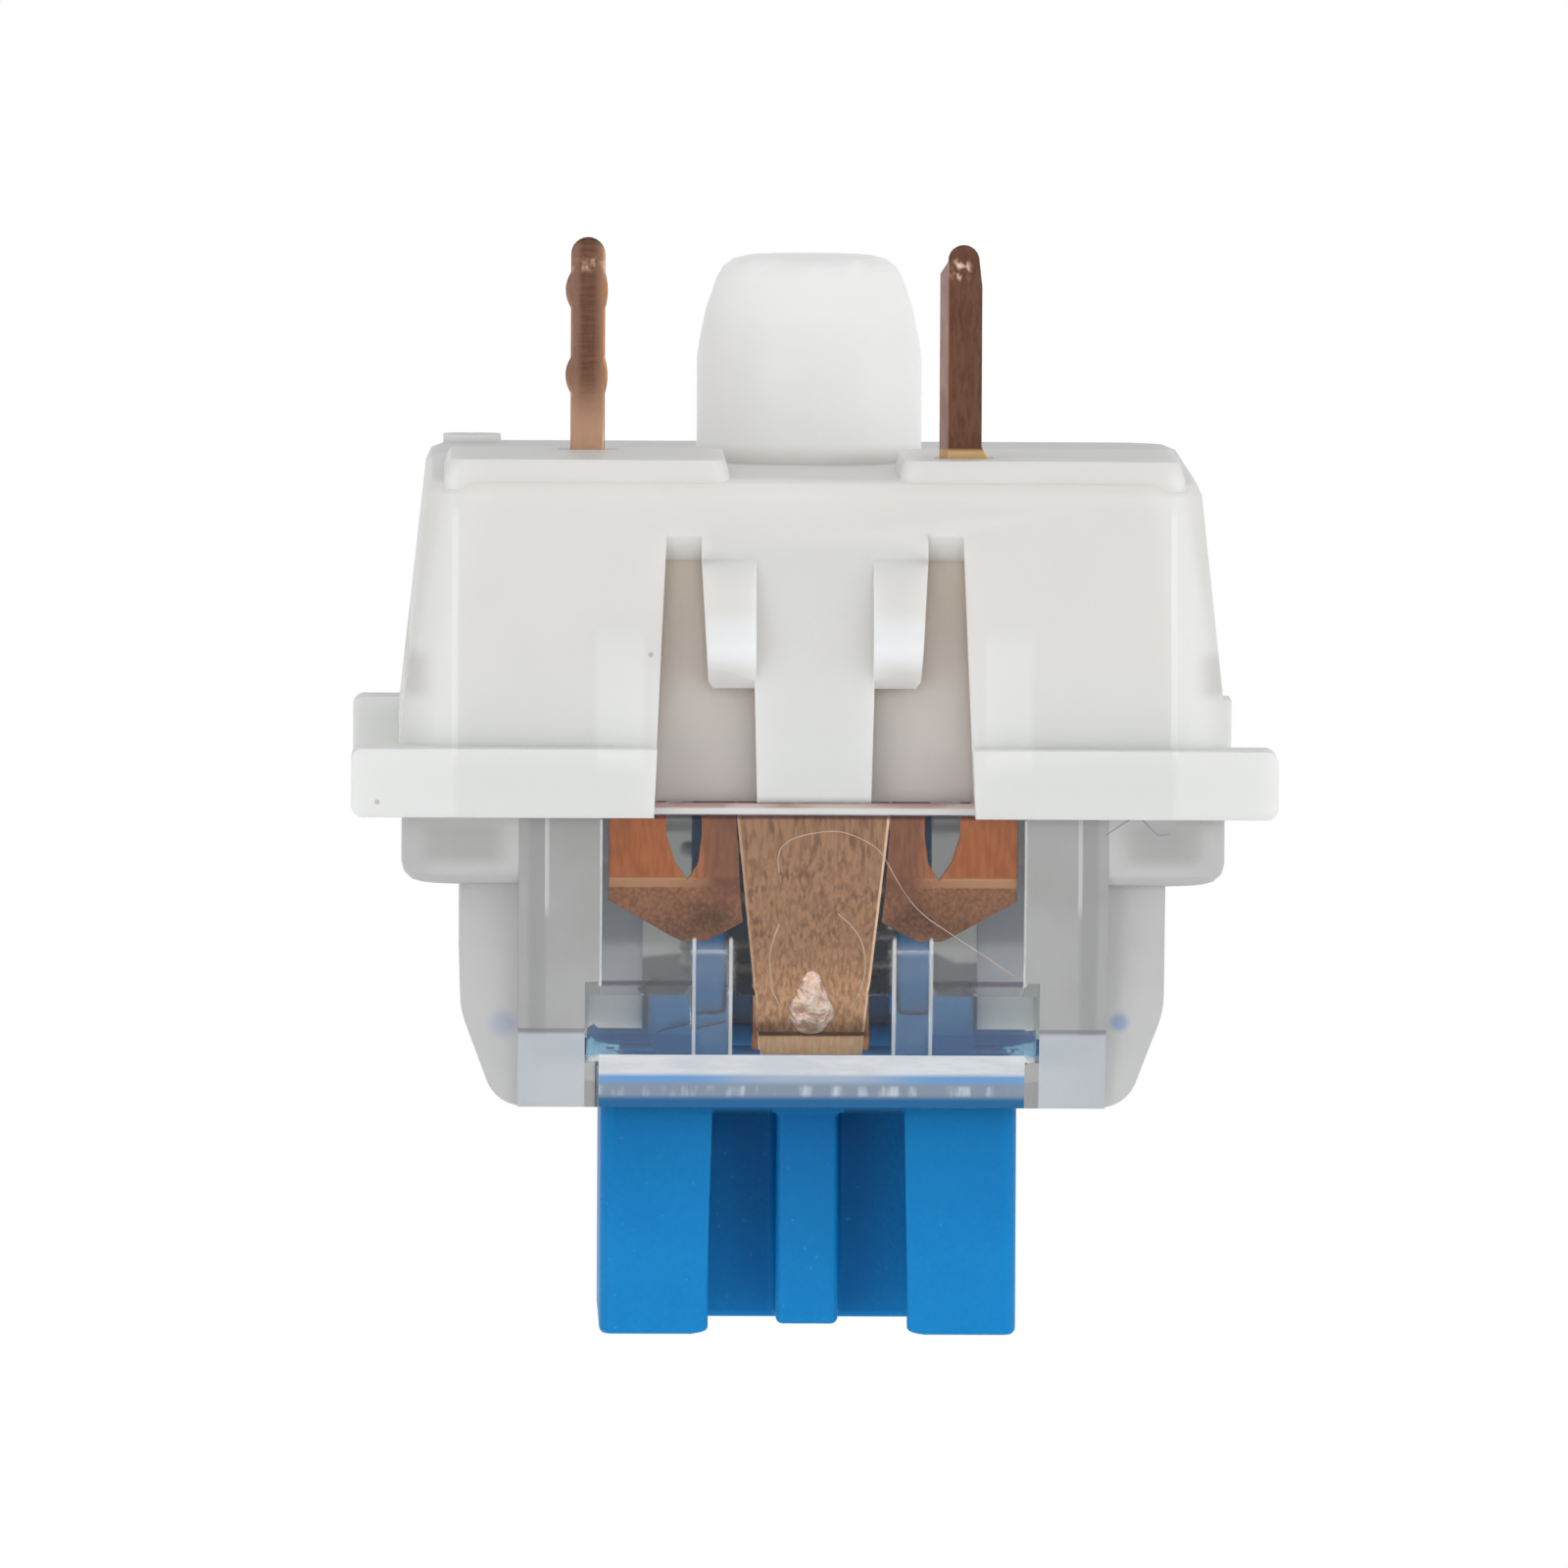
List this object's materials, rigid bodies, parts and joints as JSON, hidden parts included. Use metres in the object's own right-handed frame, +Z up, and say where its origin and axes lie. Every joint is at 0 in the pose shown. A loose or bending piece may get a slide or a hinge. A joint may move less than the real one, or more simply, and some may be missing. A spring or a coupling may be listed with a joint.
{
  "type": "mechanical keyboard switch",
  "caption": "Plate-mount keyboard key switch with a milky housing, clear cover, blue sliding stem, coil return spring and sprung bronze contact.",
  "frame": {"origin": "the centre post's axis, in the plane of the circuit board, 5 mm under the plate seat", "axes": "+Z up the stem, away from the board; the contact side faces -Y"},
  "size_m": [0.0156, 0.0156, 0.0187],
  "materials": {
    "milky_plastic": "milky, slightly translucent moulding",
    "clear_plastic": "clear polished moulding",
    "blue_plastic": "satin blue moulding",
    "spring_steel": "bright spring wire",
    "contact_bronze": "rolled bronze sheet, lightly scratched",
    "contact_gold": "gold alloy contact"
  },
  "bodies": {
    "housing": {"bottom_housing": "milky_plastic", "top_housing": "clear_plastic", "return_spring": "spring_steel", "moving_contact": "contact_bronze", "fixed_contact": "contact_bronze", "moving_contact_point": "contact_gold", "fixed_contact_point": "contact_gold"},
    "slider": {"stem": "blue_plastic"}
  },
  "joints": [
    {"name": "stem_press", "type": "slide", "parent": "housing", "child": "slider", "axis": [0, 0, -1], "range_m": [0, 0.004], "stiffness_N_per_m": 75, "springref_m": -0.004, "deforming": ["return_spring"]}
  ]
}
